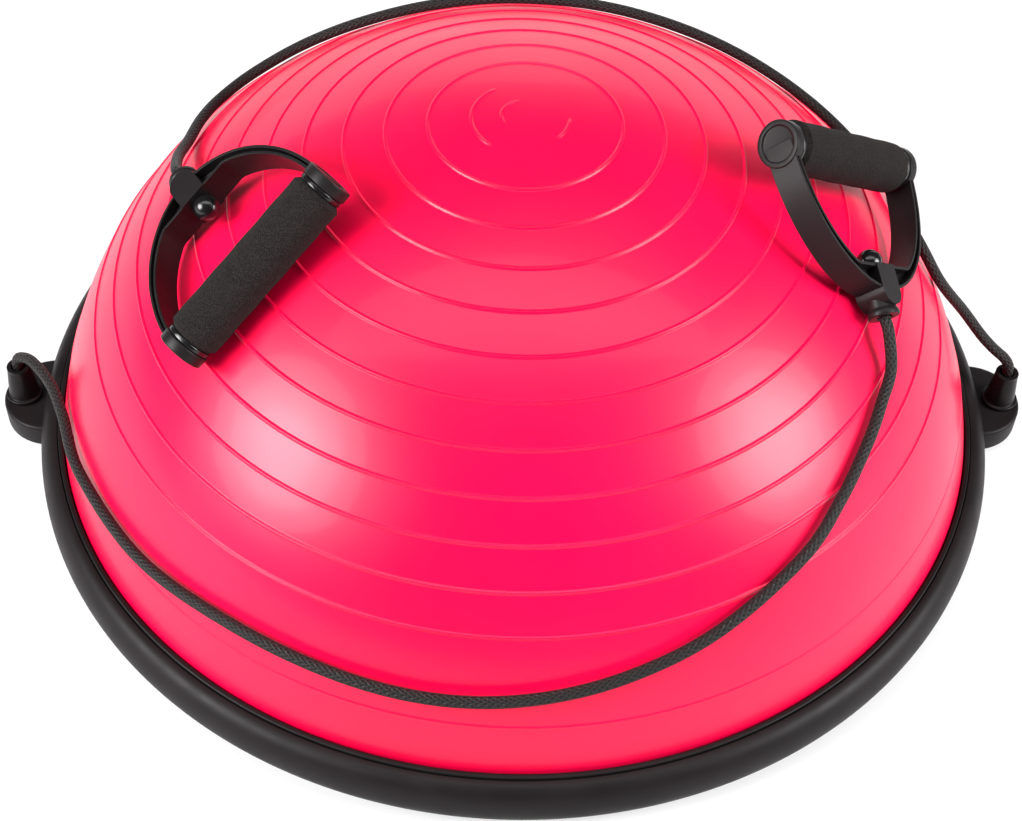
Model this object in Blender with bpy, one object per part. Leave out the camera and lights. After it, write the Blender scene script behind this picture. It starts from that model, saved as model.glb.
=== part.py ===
"""Balance dome trainer: an inflated ribbed dome on a round platform, with two elastic cords and D handles.

Metres, +Z up. The platform rests on the plane z = 0 and is centred on the Z axis. +X runs through
the right-hand ear, and the front of the trainer faces -Y.
"""

import math

import bmesh
import bpy
from mathutils import Matrix, Vector

# ---------------------------------------------------------------- driving sizes
FIT_GAP = 0.0003            # between two pieces that touch or slide in each other

# platform tray
TRAY_WALL_RUN = 0.0107      # how far the rounded wall bulges out past its top edge
TRAY_WIDEST_Z = 0.0160      # height of that line
TRAY_UNDERSIDE_Z = 0.0040   # the feet hold the tray this far off the floor
TRAY_FOOT_INSET = 0.0130    # how far the wall tucks under, from the widest line to the flat underside
TRAY_TOP_Z = 0.0330
TRAY_DECK_Z = 0.0120        # top of the flat deck inside the rim
TRAY_LIP_WIDTH = 0.0012     # flat top of the wall
SEGMENTS_LARGE = 80         # faces around the tray and the clamp ring

# ears that hold the cords
EAR_RADIUS = 0.0290
EAR_REACH = 0.0255          # how far an ear stands out past the widest line
EAR_TOP_Z = 0.0200
EAR_CHAMFER = 0.0012
CORD_HOLE_INSET = 0.0125    # from the ear's tip to the middle of its cord hole

# clamp ring between the tray wall and the bladder
RING_WIDTH = 0.0030         # the lip seen from above
RING_TOP_Z = 0.0345
RING_FOOT_WIDTH = 0.0100
RING_FOOT_RISE = 0.0020

# bladder
DOME_REACH = 0.2796         # superellipse r = reach * cos(t)**r_power, z = foot + rise * sin(t)**z_power
DOME_RISE = 0.2886
DOME_FOOT_Z = -0.0445
DOME_R_POWER = 1.1206
DOME_Z_POWER = 0.7818
DOME_WALL = 0.0022
DOME_SHOULDER_Z = 0.0320    # the bladder tucks under below this height
DOME_TUCK = 0.0075
WELT_THICKNESS = 0.0030
SEGMENTS_DOME = 52
RIB_COUNT = 11
RIB_FIRST = 0.0525          # distance over the surface from the crown to the first rib
RIB_PITCH = 0.0236
RIB_WIDTH = 0.0040
RIB_HEIGHT = 0.0009
SEAM_DISTANCE = 0.3420      # the low weld seam, measured like a rib

# valve
VALVE_AZIMUTH = math.radians(90.0)
VALVE_DISTANCE = 0.3150     # over the surface from the crown
VALVE_BORE_RADIUS = 0.0045
VALVE_NECK_RADIUS = 0.0077
VALVE_NECK_DEPTH = 0.0090
VALVE_FLANGE_RADIUS = 0.0130
VALVE_FLANGE_THICKNESS = 0.0016
VALVE_LIFT = 0.0008         # the flange stands this far off the dome's surface
PLUG_HEAD_RADIUS = 0.0080
PLUG_HEAD_THICKNESS = 0.0022
PLUG_SHANK_LENGTH = 0.0120

# feet and screws
FOOT_COUNT = 6
FOOT_RADIUS = 0.0190
FOOT_CIRCLE = 0.2300
FOOT_RECESS = 0.0015
SCREW_COUNT = 10
SCREW_HEAD_RADIUS = 0.0036
SCREW_HEAD_HEIGHT = 0.0022
SCREW_SHANK_RADIUS = 0.0016
SCREW_REACH = 0.0060        # into the clamp ring
SCREW_CLEARANCE = 0.0004

# cord and what holds it at the ears
CORD_RADIUS = 0.00325
CORD_BORE_RADIUS = 0.0043
SLEEVE_TOP_Z = 0.0450
SLEEVE_BASE_RADIUS = 0.0092
SLEEVE_TOP_RADIUS = 0.0068
SLEEVE_FLANGE_RADIUS = 0.0110
SLEEVE_FLANGE_THICKNESS = 0.0020
SLEEVE_SPIGOT_RADIUS = 0.0056
EAR_POCKET_RADIUS = 0.0090
EAR_WEB = 0.0050            # what is left of the ear above the pocket
ANCHOR_RADIUS = 0.0070

# handles: u runs along the grip, v from the grip to the cord, w away from the dome
FOAM_LENGTH = 0.1000
FOAM_RADIUS = 0.01425
FOAM_EDGE = 0.0020
TUBE_RADIUS = 0.0100
TUBE_BORE_RADIUS = 0.0076
GRIP_RING_RADIUS = 0.0125
GRIP_RING_THICKNESS = 0.0026
DISC_RADIUS = 0.0130
DISC_THICKNESS = 0.0060
SPIGOT_LENGTH = 0.0100
YOKE_DEPTH = 0.0800         # from the grip's axis to the top of the outer wall's arc
YOKE_WALL = 0.0018
YOKE_BAND = 0.0045          # across both walls at the grip
YOKE_HALF_HEIGHT = 0.0085
YOKE_WEB_HALF = 0.0022
YOKE_INNER_DEPTH = 0.0730
SEAT_V = 0.0655             # flat inner face that the stop ball seats in
BOSS_HALF_WIDTH = 0.0085
BOSS_END_V = 0.0885
BOSS_PROUD = 0.0005
COLLAR_END_V = 0.0930
COLLAR_RADIUS = 0.0087
BALL_RADIUS = 0.00725
BALL_STANDOFF = 0.0040      # from the flat face back to the ball's centre

# where the handles lie on the dome: azimuth, dome parameter t, and three turns, all in degrees
HANDLE_LIFT = {"left": 0.0022, "right": 0.0091}   # from the foam to the skin below it
HANDLES = {
    "left": (-148.7, 53.9, 93.0, -7.5, -5.4),
    "right": (0.2, 52.6, 115.7, -15.8, -6.0),
}

# cord routes by hand, from the ear to the handle
CORD_TAIL = 0.060           # the last stretch, which lifts with the handle
CORD_POINTS = 66
LEFT_CORD = [                # from the right ear, behind the dome, to the left handle
    (0.2997, 0.0018, 0.0550),
    (0.2915, 0.0040, 0.0620),
    (0.2820, 0.0060, 0.0720),
    (0.2685, 0.0090, 0.0890),
    (0.2479, 0.0060, 0.1172),
    (0.2336, 0.0180, 0.1372),
    (0.2154, 0.0561, 0.1513),
    (0.1837, 0.0964, 0.1668),
    (0.1442, 0.1271, 0.1800),
    (0.0995, 0.1473, 0.1909),
    (0.0490, 0.1593, 0.1984),
    (-0.0051, 0.1615, 0.2015),
    (-0.0528, 0.1575, 0.1987),
    (-0.0949, 0.1514, 0.1903),
    (-0.1307, 0.1448, 0.1778),
    (-0.1605, 0.1284, 0.1686),
    (-0.1794, 0.1079, 0.1650),
    (-0.1881, 0.0860, 0.1674),
    (-0.1922, 0.0616, 0.1724),
    (-0.1945, 0.0380, 0.1815),
    (-0.1925, 0.0170, 0.1925),
]
RIGHT_CORD = [               # from the left ear, round the front, to the right handle
    (-0.2997, -0.0018, 0.0545),
    (-0.2900, -0.0110, 0.0605),
    (-0.2755, -0.0325, 0.0645),
    (-0.2639, -0.0596, 0.0681),
    (-0.2463, -0.1076, 0.0735),
    (-0.2052, -0.1704, 0.0791),
    (-0.1515, -0.2168, 0.0847),
    (-0.0974, -0.2462, 0.0840),
    (-0.0484, -0.2606, 0.0834),
    (-0.0006, -0.2637, 0.0866),
    (0.0476, -0.2560, 0.0941),
    (0.0959, -0.2359, 0.1056),
    (0.1416, -0.2004, 0.1215),
    (0.1635, -0.1714, 0.1338),
    (0.1806, -0.1400, 0.1444),
    (0.1898, -0.1178, 0.1508),
    (0.1958, -0.1010, 0.1570),
]

# ---------------------------------------------------------------- sizes that follow
def dome_point(t):
    """Radius and height of the dome's skin at parameter t: 0 at its foot, a quarter turn at its crown."""
    radius = DOME_REACH * math.cos(t) ** DOME_R_POWER
    height = DOME_FOOT_Z + DOME_RISE * math.sin(t) ** DOME_Z_POWER
    return radius, height


def dome_slope(t):
    """Unit vector down the skin and the outward normal, both as (radius, height)."""
    step = 1e-4
    low_r, low_z = dome_point(max(t - step, 0.0))
    high_r, high_z = dome_point(min(t + step, math.pi / 2))
    down = Vector((low_r - high_r, low_z - high_z)).normalized()
    return down, Vector((-down.y, down.x))


def dome_parameter(reached):
    """The first t, going down from the crown, at which reached(distance, radius, height) is true."""
    steps = 4000
    distance = 0.0
    last = dome_point(math.pi / 2)
    for i in range(1, steps):
        t = math.pi / 2 * (1 - i / steps)
        point = dome_point(t)
        distance += math.dist(point, last)
        last = point
        if reached(distance, *point):
            return t
    return 0.0


def at_distance(distance):
    return dome_parameter(lambda travelled, radius, height: travelled >= distance)


SHOULDER_T = dome_parameter(lambda travelled, radius, height: height <= DOME_SHOULDER_Z)
SHOULDER_RADIUS = dome_point(SHOULDER_T)[0]
RING_INNER = SHOULDER_RADIUS + 2 * FIT_GAP
RING_OUTER = RING_INNER + RING_WIDTH
WELL_RADIUS = RING_OUTER + FIT_GAP
TRAY_TOP_RADIUS = WELL_RADIUS + TRAY_LIP_WIDTH
TRAY_RADIUS = TRAY_TOP_RADIUS + TRAY_WALL_RUN
WELT_BOTTOM_Z = TRAY_DECK_Z + FIT_GAP
WELT_TOP_Z = WELT_BOTTOM_Z + WELT_THICKNESS
TUCK_RADIUS = SHOULDER_RADIUS - DOME_TUCK
RING_FOOT_Z = WELT_TOP_Z + FIT_GAP
SCREW_CIRCLE = RING_OUTER - RING_FOOT_WIDTH / 2 + FIT_GAP
EAR_OFFSET = TRAY_RADIUS + EAR_REACH - EAR_RADIUS
CORD_OFFSET = TRAY_RADIUS + EAR_REACH - CORD_HOLE_INSET
POCKET_TOP_Z = EAR_TOP_Z - EAR_WEB
ANCHOR_Z = POCKET_TOP_Z - FIT_GAP - ANCHOR_RADIUS
GRIP_RING_IN = FOAM_LENGTH / 2 + FIT_GAP
DISC_IN = GRIP_RING_IN + GRIP_RING_THICKNESS + FIT_GAP
DISC_OUT = DISC_IN + DISC_THICKNESS
BALL_V = SEAT_V - BALL_STANDOFF


# ---------------------------------------------------------------- building helpers
def clear_scene():
    for item in list(bpy.data.objects):
        bpy.data.objects.remove(item, do_unlink=True)


def finish(name, colour, roughness, metallic=0.0):
    material = bpy.data.materials.new(name)
    material.use_nodes = True
    shader = material.node_tree.nodes["Principled BSDF"]
    shader.inputs["Base Color"].default_value = (*colour, 1.0)
    shader.inputs["Roughness"].default_value = roughness
    shader.inputs["Metallic"].default_value = metallic
    material.diffuse_color = (*colour, 1.0)
    return material


def add_object(name, build, material=None, smooth=True):
    """Make a mesh object from a bmesh, shaded smooth where its faces meet gently."""
    bmesh.ops.recalc_face_normals(build, faces=build.faces)
    mesh = bpy.data.meshes.new(name)
    build.to_mesh(mesh)
    build.free()
    item = bpy.data.objects.new(name, mesh)
    bpy.context.collection.objects.link(item)
    if material:
        mesh.materials.append(material)
    if smooth:
        mesh.shade_smooth()
        mesh.set_sharp_from_angle(angle=math.radians(35))
    return item


def lathe(profile, segments):
    """Turn (radius, height) points about Z. The outline closes on itself, or on the axis at radius 0."""
    build = bmesh.new()
    rings = []
    for radius, height in profile:
        if radius < 1e-9:
            rings.append([build.verts.new((0.0, 0.0, height))])
            continue
        turns = [2 * math.pi * i / segments for i in range(segments)]
        rings.append([build.verts.new((radius * math.cos(a), radius * math.sin(a), height)) for a in turns])
    for low, high in zip(rings, rings[1:] + rings[:1]):
        if len(low) == 1 and len(high) == 1:
            continue
        for i in range(segments):
            j = (i + 1) % segments
            corners = [low[i % len(low)], low[j % len(low)], high[j % len(high)], high[i % len(high)]]
            build.faces.new(list(dict.fromkeys(corners)))
    return build


def round_bar(radius, low, high, segments=24, chamfer=0.0):
    profile = [(0, low), (radius - chamfer, low)]
    if chamfer:
        profile += [(radius, low + chamfer), (radius, high - chamfer)]
    profile += [(radius - chamfer, high), (0, high)]
    return lathe(profile, segments)


def round_tube(outer, bore, low, high, segments=24, chamfer=0.0):
    profile = [(bore, low), (outer - chamfer, low)]
    if chamfer:
        profile += [(outer, low + chamfer), (outer, high - chamfer)]
    profile += [(outer - chamfer, high), (bore, high)]
    return lathe(profile, segments)


def stepped_bar(wide, narrow, low, step, high, segments):
    """A cutter for a hole that is wide at its foot and narrow above the step."""
    profile = [(0, low), (wide, low), (wide, step), (narrow, step), (narrow, high), (0, high)]
    return lathe(profile, segments)


def moved(build, matrix):
    bmesh.ops.transform(build, matrix=matrix, verts=build.verts)
    return build


def weld(item):
    """Close the hair-line splits that a cut can leave between coincident corners."""
    modifier = item.modifiers.new("weld", "WELD")
    modifier.merge_threshold = 0.00001


def joined(*builds):
    """One bmesh that holds several separate bodies, for a cutter or a union."""
    whole = bmesh.new()
    for build in builds:
        mesh = bpy.data.meshes.new("piece")
        build.to_mesh(mesh)
        build.free()
        whole.from_mesh(mesh)
        bpy.data.meshes.remove(mesh)
    return whole


def add_boolean(item, operation, name, build):
    """Cut or join a hidden helper body, with the exact solver."""
    helper = add_object(name, build, smooth=False)
    helper.hide_render = True
    helper.display_type = "WIRE"
    helper.parent = item.parent
    helper.location = item.location
    modifier = item.modifiers.new(name, "BOOLEAN")
    modifier.operation = operation
    modifier.solver = "EXACT"
    modifier.object = helper
    return modifier


def add_empty(name, matrix, parent=None):
    empty = bpy.data.objects.new(name, None)
    bpy.context.collection.objects.link(empty)
    empty.parent = parent
    empty.matrix_local = matrix
    return empty


def place(item, parent, offset=(0.0, 0.0, 0.0)):
    item.parent = parent
    item.location = offset
    return item


def along_x(build):
    """Lay a body that was turned about Z along X instead."""
    return moved(build, Matrix.Rotation(math.radians(90), 4, "Y"))


def along_y(build):
    """Lay a body that was turned about Z along Y instead."""
    return moved(build, Matrix.Rotation(math.radians(-90), 4, "X"))


def around(count, radius, first=0.0):
    """Places spread evenly on a circle."""
    angles = [first + 2 * math.pi * i / count for i in range(count)]
    return [Vector((radius * math.cos(a), radius * math.sin(a), 0.0)) for a in angles]


# ---------------------------------------------------------------- platform
def tray_profile():
    tuck = []
    for i in range(4):
        a = math.radians(90 * i / 3)
        radius = TRAY_RADIUS - TRAY_FOOT_INSET * (1 - math.sin(a))
        height = TRAY_WIDEST_Z - (TRAY_WIDEST_Z - TRAY_UNDERSIDE_Z) * math.cos(a)
        tuck.append((radius, height))
    wall = []
    for i in range(1, 6):
        a = math.radians(90 * i / 5)
        radius = TRAY_TOP_RADIUS + TRAY_WALL_RUN * math.cos(a)
        height = TRAY_WIDEST_Z + (TRAY_TOP_Z - TRAY_WIDEST_Z) * math.sin(a)
        wall.append((radius, height))
    return [(0, TRAY_UNDERSIDE_Z)] + tuck + wall + [(0, TRAY_TOP_Z)]


def build_tray(plastic):
    """The round platform: a rounded wall, a flat deck and an ear on each side, as one moulding."""
    tray = add_object("base_tray", lathe(tray_profile(), SEGMENTS_LARGE), plastic)
    ears = []
    ear_cuts = []
    for side in (-1, 1):
        ear_place = Matrix.Translation((side * EAR_OFFSET, 0, 0))
        ears.append(moved(round_bar(EAR_RADIUS, TRAY_UNDERSIDE_Z, EAR_TOP_Z, 36, EAR_CHAMFER), ear_place))
        hole = SLEEVE_SPIGOT_RADIUS + FIT_GAP
        below, above = TRAY_UNDERSIDE_Z - 0.002, EAR_TOP_Z + 0.002
        cut = stepped_bar(EAR_POCKET_RADIUS, hole, below, POCKET_TOP_Z, above, 24)
        ear_cuts.append(moved(cut, Matrix.Translation((side * CORD_OFFSET, 0, 0))))
    add_boolean(tray, "UNION", "cut_ears_on", joined(*ears))
    well = round_bar(WELL_RADIUS, TRAY_DECK_Z, TRAY_TOP_Z + 0.002, SEGMENTS_LARGE)
    add_boolean(tray, "DIFFERENCE", "cut_well", well)
    add_boolean(tray, "DIFFERENCE", "cut_cord_holes", joined(*ear_cuts))
    recesses = []
    for spot in around(FOOT_COUNT, FOOT_CIRCLE, math.radians(30)):
        recess = round_bar(FOOT_RADIUS + FIT_GAP, TRAY_UNDERSIDE_Z - 0.002, TRAY_UNDERSIDE_Z + FOOT_RECESS, 20)
        recesses.append(moved(recess, Matrix.Translation(spot)))
    add_boolean(tray, "DIFFERENCE", "cut_foot_recesses", joined(*recesses))
    holes = []
    head_hole = SCREW_HEAD_RADIUS + SCREW_CLEARANCE
    shank_hole = SCREW_SHANK_RADIUS + SCREW_CLEARANCE
    head_top = TRAY_UNDERSIDE_Z + SCREW_HEAD_HEIGHT + 2 * FIT_GAP
    for spot in screw_spots():
        below, above = TRAY_UNDERSIDE_Z - 0.002, TRAY_DECK_Z + 0.001
        cut = stepped_bar(head_hole, shank_hole, below, head_top, above, 8)
        holes.append(moved(cut, Matrix.Translation(spot)))
    add_boolean(tray, "DIFFERENCE", "cut_screw_holes", joined(*holes))
    weld(tray)


def screw_spots():
    return around(SCREW_COUNT, SCREW_CIRCLE, math.radians(18))


def build_clamp_ring(plastic):
    """The ring that holds the bladder's welt down, seen as a thin lip between wall and dome."""
    profile = [
        (RING_OUTER, RING_FOOT_Z),
        (RING_OUTER, RING_TOP_Z - 0.0006),
        (RING_OUTER - 0.0006, RING_TOP_Z),
        (RING_INNER + 0.0006, RING_TOP_Z),
        (RING_INNER, RING_TOP_Z - 0.0006),
        (RING_INNER, DOME_SHOULDER_Z - 0.0040),
        (RING_OUTER - RING_FOOT_WIDTH, RING_FOOT_Z + RING_FOOT_RISE),
        (RING_OUTER - RING_FOOT_WIDTH, RING_FOOT_Z),
    ]
    ring = add_object("clamp_ring", lathe(profile, SEGMENTS_LARGE), plastic)
    holes = []
    for spot in screw_spots():
        hole_top = RING_FOOT_Z + SCREW_REACH + FIT_GAP
        hole = round_bar(SCREW_SHANK_RADIUS + SCREW_CLEARANCE, RING_FOOT_Z - 0.001, hole_top, 8)
        holes.append(moved(hole, Matrix.Translation(spot)))
    add_boolean(ring, "DIFFERENCE", "cut_ring_holes", joined(*holes))


def build_feet(rubber):
    for i, spot in enumerate(around(FOOT_COUNT, FOOT_CIRCLE, math.radians(30)), start=1):
        height = TRAY_UNDERSIDE_Z + FOOT_RECESS - FIT_GAP
        foot = add_object(f"foot_{i}", round_bar(FOOT_RADIUS, 0.0, height, 20, 0.0008), rubber)
        foot.location = spot


def build_screws(steel):
    """Pan-head screws up through the deck and the welt into the clamp ring."""
    under = TRAY_UNDERSIDE_Z + FIT_GAP
    shoulder = under + SCREW_HEAD_HEIGHT
    tip = RING_FOOT_Z + SCREW_REACH
    profile = [
        (0, under),
        (SCREW_HEAD_RADIUS - 0.0008, under),
        (SCREW_HEAD_RADIUS, under + 0.0008),
        (SCREW_HEAD_RADIUS, shoulder),
        (SCREW_SHANK_RADIUS, shoulder),
        (SCREW_SHANK_RADIUS, tip - 0.0012),
        (0, tip),
    ]
    for i, spot in enumerate(screw_spots(), start=1):
        screw = add_object(f"base_screw_{i}", lathe(profile, 8), steel)
        screw.location = spot


# ---------------------------------------------------------------- bladder and valve
def skin_point(t, out=0.0):
    radius, height = dome_point(t)
    normal = dome_slope(t)[1]
    return max(radius + normal.x * out, 0.0), height + normal.y * out


def rib_points(distance, width, height):
    """A low ridge across the skin: its upper edge, its top and its lower edge."""
    edges = [at_distance(distance + offset) for offset in (-width / 2, 0.0, width / 2)]
    return [skin_point(edges[0]), skin_point(edges[1], height), skin_point(edges[2])]


def bladder_outline():
    outline = [(0, dome_point(math.pi / 2)[1]), skin_point(at_distance(RIB_FIRST / 2))]
    for i in range(RIB_COUNT):
        outline += rib_points(RIB_FIRST + i * RIB_PITCH, RIB_WIDTH, RIB_HEIGHT)
    last_rib = RIB_FIRST + (RIB_COUNT - 1) * RIB_PITCH
    outline.append(skin_point(at_distance((last_rib + SEAM_DISTANCE) / 2)))
    outline += rib_points(SEAM_DISTANCE, RIB_WIDTH, RIB_HEIGHT / 2)
    outline.append((SHOULDER_RADIUS, DOME_SHOULDER_Z))
    drop = DOME_SHOULDER_Z - WELT_TOP_Z
    for part in (0.35, 0.65, 0.90):
        inward = DOME_TUCK * part**2 * (3 - 2 * part)
        outline.append((SHOULDER_RADIUS - inward, DOME_SHOULDER_Z - drop * part))
    outline.append((RING_OUTER - RING_FOOT_WIDTH - FIT_GAP, WELT_TOP_Z))
    outline.append((RING_OUTER, WELT_TOP_Z))
    outline.append((RING_OUTER, WELT_BOTTOM_Z))
    outline.append((0, WELT_BOTTOM_Z))
    return outline


def bladder_inside():
    outline = [(0, dome_point(math.pi / 2)[1] - DOME_WALL)]
    low = SHOULDER_T
    for i in range(1, 9):
        t = math.pi / 2 + (low - math.pi / 2) * i / 8
        outline.append(skin_point(t, -DOME_WALL))
    outline.append((TUCK_RADIUS - DOME_WALL - 0.002, WELT_TOP_Z + DOME_WALL + 0.003))
    outline.append((TUCK_RADIUS - DOME_WALL - 0.006, WELT_BOTTOM_Z + DOME_WALL))
    outline.append((0, WELT_BOTTOM_Z + DOME_WALL))
    return outline


def dome_frame(azimuth, t, lift):
    """A frame on the dome: X along the parallel, Y up the slope and Z outward, lifted off the skin."""
    normal = dome_slope(t)[1]
    radius, height = skin_point(t, lift)
    side = Vector((-math.sin(azimuth), math.cos(azimuth), 0.0))
    out = Vector((normal.x * math.cos(azimuth), normal.x * math.sin(azimuth), normal.y))
    frame = Matrix((side, out.cross(side), out)).transposed().to_4x4()
    frame.translation = Vector((radius * math.cos(azimuth), radius * math.sin(azimuth), height))
    return frame


def valve_frame():
    return dome_frame(VALVE_AZIMUTH, at_distance(VALVE_DISTANCE), VALVE_LIFT)


def build_bladder(vinyl):
    """The air-tight dome: a hollow skin with raised rings, a flat bottom and a welt round its foot."""
    bladder = add_object("dome_bladder", lathe(bladder_outline(), SEGMENTS_DOME), vinyl)
    add_boolean(bladder, "DIFFERENCE", "cut_air_space", lathe(bladder_inside(), SEGMENTS_DOME))
    neck = round_bar(VALVE_NECK_RADIUS + FIT_GAP, -0.012, 0.010, 24)
    add_boolean(bladder, "DIFFERENCE", "cut_valve_hole", moved(neck, valve_frame()))
    holes = []
    for spot in screw_spots():
        hole = round_bar(SCREW_SHANK_RADIUS + SCREW_CLEARANCE, WELT_BOTTOM_Z - 0.001, WELT_TOP_Z + 0.001, 8)
        holes.append(moved(hole, Matrix.Translation(spot)))
    add_boolean(bladder, "DIFFERENCE", "cut_welt_holes", joined(*holes))


def build_valve(rubber, plastic):
    """A flanged valve seat through the skin, and the plug that is pulled out of it to inflate."""
    axis = add_empty("valve_axis", valve_frame())
    seat_profile = [
        (VALVE_BORE_RADIUS, -VALVE_NECK_DEPTH),
        (VALVE_NECK_RADIUS, -VALVE_NECK_DEPTH),
        (VALVE_NECK_RADIUS, 0.0),
        (VALVE_FLANGE_RADIUS, 0.0),
        (VALVE_FLANGE_RADIUS - 0.0006, VALVE_FLANGE_THICKNESS),
        (VALVE_BORE_RADIUS, VALVE_FLANGE_THICKNESS),
    ]
    place(add_object("valve_seat", lathe(seat_profile, 24), rubber), axis)
    head_low = VALVE_FLANGE_THICKNESS + FIT_GAP
    head_high = head_low + PLUG_HEAD_THICKNESS
    shank = VALVE_BORE_RADIUS - FIT_GAP
    plug_profile = [
        (0, head_low - PLUG_SHANK_LENGTH),
        (shank - 0.0012, head_low - PLUG_SHANK_LENGTH),
        (shank, head_low - PLUG_SHANK_LENGTH + 0.0030),
        (shank, head_low),
        (PLUG_HEAD_RADIUS, head_low),
        (PLUG_HEAD_RADIUS, head_high - 0.0008),
        (PLUG_HEAD_RADIUS - 0.0008, head_high),
        (0, head_high),
    ]
    place(add_object("valve_plug", lathe(plug_profile, 24), plastic), axis)


# ---------------------------------------------------------------- cord anchors in the ears
def build_ear_fittings(rubber, plastic):
    flange_low = EAR_TOP_Z + FIT_GAP
    flange_high = flange_low + SLEEVE_FLANGE_THICKNESS
    sleeve_profile = [
        (CORD_BORE_RADIUS, POCKET_TOP_Z + 2 * FIT_GAP),
        (SLEEVE_SPIGOT_RADIUS, POCKET_TOP_Z + 2 * FIT_GAP),
        (SLEEVE_SPIGOT_RADIUS, flange_low),
        (SLEEVE_FLANGE_RADIUS, flange_low),
        (SLEEVE_FLANGE_RADIUS, flange_high - 0.0006),
        (SLEEVE_FLANGE_RADIUS - 0.0006, flange_high),
        (SLEEVE_BASE_RADIUS, flange_high),
        (SLEEVE_TOP_RADIUS, SLEEVE_TOP_Z - 0.0005),
        (SLEEVE_TOP_RADIUS - 0.0005, SLEEVE_TOP_Z),
        (CORD_BORE_RADIUS, SLEEVE_TOP_Z),
    ]
    for name, side in (("left", -1), ("right", 1)):
        spot = (side * CORD_OFFSET, 0.0, 0.0)
        sleeve = add_object(f"{name}_ear_sleeve", lathe(sleeve_profile, 24), rubber)
        sleeve.location = spot
        anchor = add_object(f"{name}_ear_anchor", ball(ANCHOR_RADIUS, ANCHOR_Z, 16, 8), plastic)
        anchor.location = spot


def ball(radius, height, segments, rings):
    profile = []
    for i in range(rings + 1):
        a = math.pi * i / rings
        profile.append((radius * math.sin(a) if 0 < i < rings else 0, height - radius * math.cos(a)))
    return lathe(profile, segments)


# ---------------------------------------------------------------- handles
def handle_frame(side):
    azimuth, t, yaw, pitch, roll = (math.radians(value) for value in HANDLES[side])
    turn = Matrix.Rotation(yaw, 4, "Z") @ Matrix.Rotation(pitch, 4, "X") @ Matrix.Rotation(roll, 4, "Y")
    return dome_frame(azimuth, t, FOAM_RADIUS + HANDLE_LIFT[side]) @ turn


def yoke_arm():
    """An I-section band that bends from one end disc round the boss to the other."""
    build = bmesh.new()
    stations = 22
    loops = []
    reach_out = DISC_OUT
    reach_in = DISC_OUT - YOKE_BAND
    for i in range(stations + 1):
        a = math.pi * i / stations
        outer = Vector((reach_out * math.cos(a), YOKE_DEPTH * math.sin(a)))
        inner = Vector((reach_in * math.cos(a), min(YOKE_INNER_DEPTH * math.sin(a), SEAT_V)))
        across = (outer - inner).normalized() * YOKE_WALL
        outer_in = outer - across
        inner_out = inner + across
        high, web = YOKE_HALF_HEIGHT, YOKE_WEB_HALF
        section = [
            (outer, high), (outer_in, high), (outer_in, web), (inner_out, web), (inner_out, high), (inner, high),
            (inner, -high), (inner_out, -high), (inner_out, -web), (outer_in, -web), (outer_in, -high),
            (outer, -high),
        ]
        loops.append([build.verts.new((point.x, point.y, w)) for point, w in section])
    for near, far in zip(loops, loops[1:]):
        for k in range(len(near)):
            m = (k + 1) % len(near)
            build.faces.new((near[k], near[m], far[m], far[k]))
    build.faces.new(loops[0])
    build.faces.new(reversed(loops[-1]))
    bmesh.ops.recalc_face_normals(build, faces=build.faces)
    return build


def boss_block():
    """The block that the cord runs through, with a round far end."""
    half = YOKE_HALF_HEIGHT + BOSS_PROUD
    outline = [(BOSS_HALF_WIDTH, SEAT_V - 0.0002)]
    centre = BOSS_END_V - BOSS_HALF_WIDTH
    for i in range(9):
        a = math.pi * i / 8
        outline.append((BOSS_HALF_WIDTH * math.cos(a), centre + BOSS_HALF_WIDTH * math.sin(a)))
    outline.append((-BOSS_HALF_WIDTH, SEAT_V - 0.0002))
    build = bmesh.new()
    face = build.faces.new([build.verts.new((u, v, -half)) for u, v in outline])
    swept = bmesh.ops.extrude_face_region(build, geom=[face])
    top = [item for item in swept["geom"] if isinstance(item, bmesh.types.BMVert)]
    bmesh.ops.translate(build, vec=(0, 0, 2 * half), verts=top)
    bmesh.ops.recalc_face_normals(build, faces=build.faces)
    return build


def collar():
    """The round flared mouth at the end of the boss."""
    profile = [
        (0, BOSS_END_V - BOSS_HALF_WIDTH),
        (COLLAR_RADIUS - 0.0014, BOSS_END_V - BOSS_HALF_WIDTH),
        (COLLAR_RADIUS, COLLAR_END_V - 0.0016),
        (COLLAR_RADIUS - 0.0014, COLLAR_END_V),
        (0, COLLAR_END_V),
    ]
    return along_y(lathe(profile, 20))


def end_disc(side):
    """The disc and spigot that carry one end of the grip."""
    profile = [
        (0, DISC_IN - SPIGOT_LENGTH),
        (TUBE_BORE_RADIUS - FIT_GAP, DISC_IN - SPIGOT_LENGTH),
        (TUBE_BORE_RADIUS - FIT_GAP, DISC_IN),
        (DISC_RADIUS, DISC_IN),
        (DISC_RADIUS, DISC_OUT - 0.0010),
        (DISC_RADIUS - 0.0010, DISC_OUT + 0.0004),
        (0, DISC_OUT + 0.0004),
    ]
    turned = along_x(lathe(profile, 24))
    return turned if side > 0 else moved(turned, Matrix.Rotation(math.pi, 4, "Z"))


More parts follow.
